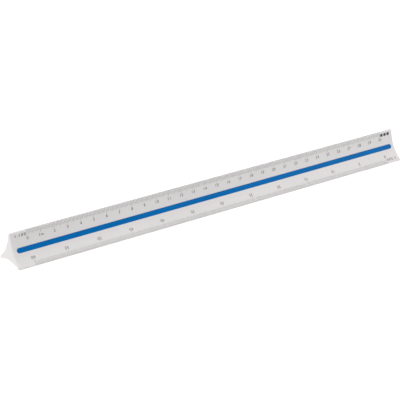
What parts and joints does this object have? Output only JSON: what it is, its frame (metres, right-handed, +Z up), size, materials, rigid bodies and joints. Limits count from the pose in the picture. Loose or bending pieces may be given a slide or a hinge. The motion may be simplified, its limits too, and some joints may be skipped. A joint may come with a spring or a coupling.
{
  "type": "triangular scale ruler",
  "caption": "Triangular drafting scale ruler with fluted faces, a coloured inlay along each face and a printed scale on every edge.",
  "frame": {"origin": "on the table, under the middle of the ruler, which lies on one face", "axes": "+X along the ruler, to the right for someone reading the front face; +Y away from that reader; +Z up"},
  "size_m": [0.325, 0.0244, 0.0214],
  "materials": {
    "white_plastic": "satin moulded plastic",
    "blue_plastic": "satin moulded plastic",
    "red_plastic": "satin moulded plastic",
    "green_plastic": "satin moulded plastic",
    "printing_ink": "dark grey pad-printed ink"
  },
  "bodies": {
    "root": {"ruler_body": "white_plastic", "blue_inlay": "blue_plastic", "red_inlay": "red_plastic", "green_inlay": "green_plastic", "graduations_1_100": "printing_ink", "figures_1_100": "printing_ink", "ratio_1_100": "printing_ink", "graduations_1_200": "printing_ink", "figures_1_200": "printing_ink", "ratio_1_200": "printing_ink", "graduations_1_250": "printing_ink", "figures_1_250": "printing_ink", "ratio_1_250": "printing_ink", "graduations_1_500": "printing_ink", "figures_1_500": "printing_ink", "ratio_1_500": "printing_ink", "graduations_1_300": "printing_ink", "figures_1_300": "printing_ink", "ratio_1_300": "printing_ink", "graduations_1_400": "printing_ink", "figures_1_400": "printing_ink", "ratio_1_400": "printing_ink", "scale_bar_mark": "printing_ink"}
  },
  "joints": []
}
